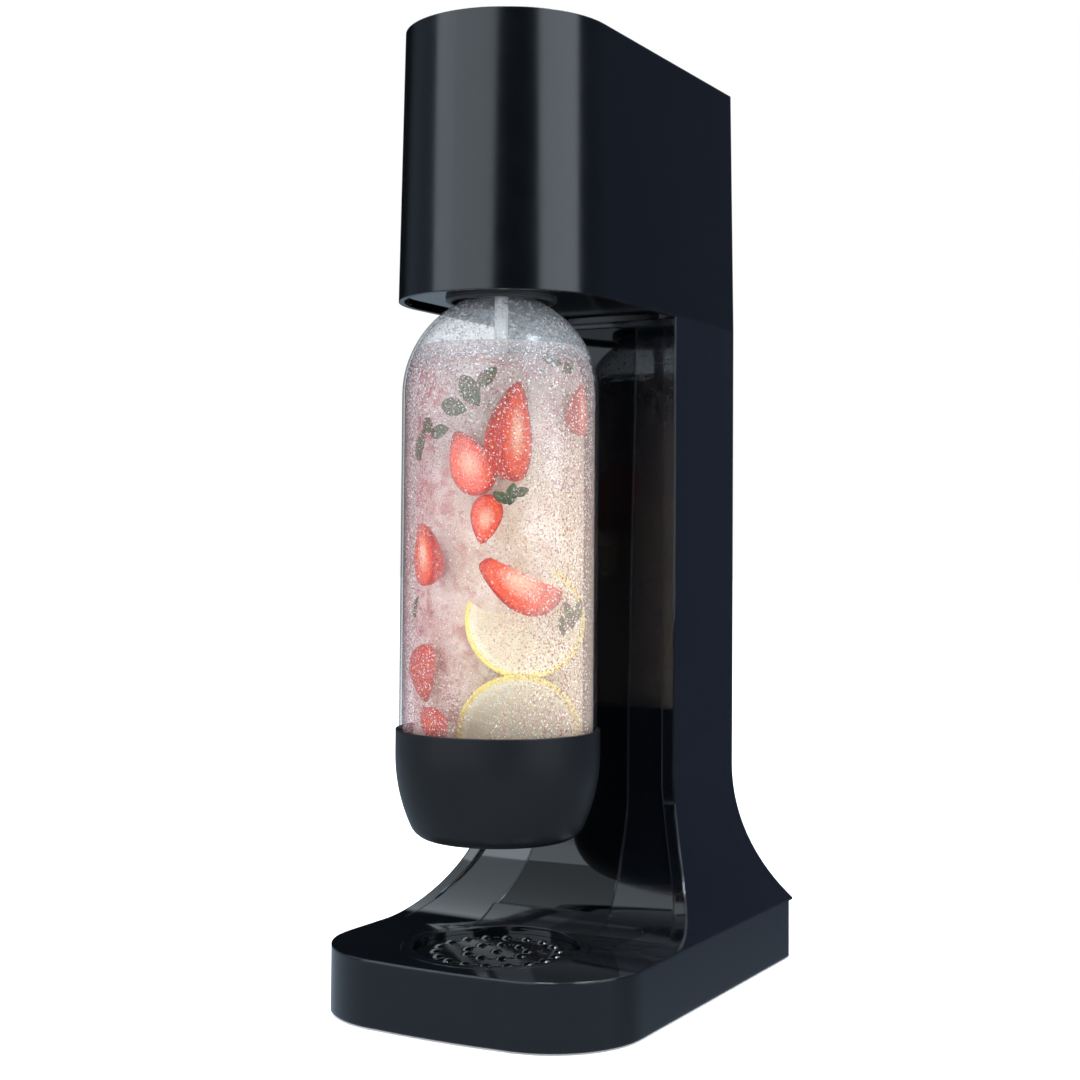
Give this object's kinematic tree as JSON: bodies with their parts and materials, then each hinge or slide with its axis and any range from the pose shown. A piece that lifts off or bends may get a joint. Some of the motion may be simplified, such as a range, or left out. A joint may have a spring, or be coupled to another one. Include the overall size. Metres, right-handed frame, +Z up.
{
  "type": "soda carbonator",
  "caption": "Counter-top soda carbonator: D-shaped head on a slim column, flared base with drip tray, screw-in bottle and gas cylinder.",
  "frame": {"origin": "middle of the footprint, on the surface that the feet stand on", "axes": "+Z up; the front with the bottle faces -Y; +X is to the right seen from the front"},
  "size_m": [0.149, 0.2224, 0.438],
  "materials": {
    "gloss_black": "mirror gloss",
    "satin_black": "satin",
    "dark_trim": "satin",
    "matte_black": "matt",
    "chassis_plastic": "moulded",
    "rubber": "matt",
    "steel": "bright",
    "lever_steel": "pressed sheet",
    "brass": "machined",
    "tube_plastic": "translucent",
    "pale_plastic": "moulded",
    "cylinder_grey": "painted satin",
    "clear_bottle": "clear",
    "cup_black": "satin",
    "tray_black": "gloss",
    "grate_black": "gloss"
  },
  "bodies": {
    "machine": {"housing": "gloss_black", "front_panel": "gloss_black", "head_shell": "satin_black", "top_plate": "satin_black", "underside_plate": "gloss_black", "neck_collar": "dark_trim", "base_plate": "matte_black", "foot_pads": "rubber", "base_screws": "steel", "frame_screws": "steel", "mech_frame": "chassis_plastic", "valve_block": "brass", "cylinder_seal": "rubber", "lever_pin": "steel", "gas_tube": "tube_plastic", "tube_nuts": "brass", "carbonation_head": "dark_trim", "bottle_seal": "rubber", "nozzle_tube": "pale_plastic", "nozzle_tip": "pale_plastic", "relief_body": "brass", "relief_cap": "brass", "cylinder_cradle": "chassis_plastic"},
    "cover": {"rear_cover": "gloss_black"},
    "cylinder": {"gas_cylinder": "cylinder_grey", "cylinder_valve": "brass"},
    "valve_pin": {"valve_pin": "steel"},
    "button": {"press_button": "satin_black", "button_spring": "steel"},
    "lever": {"valve_lever": "lever_steel"},
    "plunger": {"valve_plunger": "steel"},
    "relief": {"relief_poppet": "pale_plastic", "relief_spring": "steel"},
    "bottle": {"bottle": "clear_bottle", "bottle_cup": "cup_black"},
    "tray": {"drip_tray": "tray_black"},
    "grate": {"drip_grate": "grate_black"}
  },
  "joints": [
    {"name": "button_press", "type": "slide", "parent": "machine", "child": "button", "axis": [0, 0, -1], "range_m": [0, 0.009], "stiffness_N_per_m": 900, "springref_m": -0.004, "deforming": ["button_spring"]},
    {"name": "lever_rock", "type": "hinge", "parent": "machine", "child": "lever", "pos_m": [0, 0.08015, 0.4013], "axis": [1, 0, 0], "range_deg": [0, 3.8]},
    {"name": "plunger_push", "type": "slide", "parent": "machine", "child": "plunger", "axis": [0, 0, -1], "range_m": [0, 0.0016]},
    {"name": "valve_pin_push", "type": "slide", "parent": "cylinder", "child": "valve_pin", "axis": [0, 0, -1], "range_m": [0, 0.0016]},
    {"name": "cylinder_unscrew", "type": "slide", "parent": "machine", "child": "cylinder", "axis": [0, 0, -1], "range_m": [0, 0.014]},
    {"name": "cover_pull", "type": "slide", "parent": "machine", "child": "cover", "axis": [0, 1, 0], "range_m": [0, 0.12]},
    {"name": "relief_lift", "type": "slide", "parent": "machine", "child": "relief", "axis": [0, 0, 1], "range_m": [0, 0.002], "stiffness_N_per_m": 1500, "springref_m": -0.002, "deforming": ["relief_spring"]},
    {"name": "bottle_unscrew", "type": "slide", "parent": "machine", "child": "bottle", "axis": [0, 0, -1], "range_m": [0, 0.02]},
    {"name": "tray_lift", "type": "slide", "parent": "machine", "child": "tray", "axis": [0, 0, 1], "range_m": [0, 0.014]},
    {"name": "grate_lift", "type": "slide", "parent": "tray", "child": "grate", "axis": [0, 0, 1], "range_m": [0, 0.007]}
  ],
  "couplings": [
    {"joint": "lever_rock", "follows": "button_press", "rad_per_m": 7.1556},
    {"joint": "plunger_push", "follows": "button_press", "ratio": 0.15957},
    {"joint": "valve_pin_push", "follows": "button_press", "ratio": 0.15957}
  ]
}
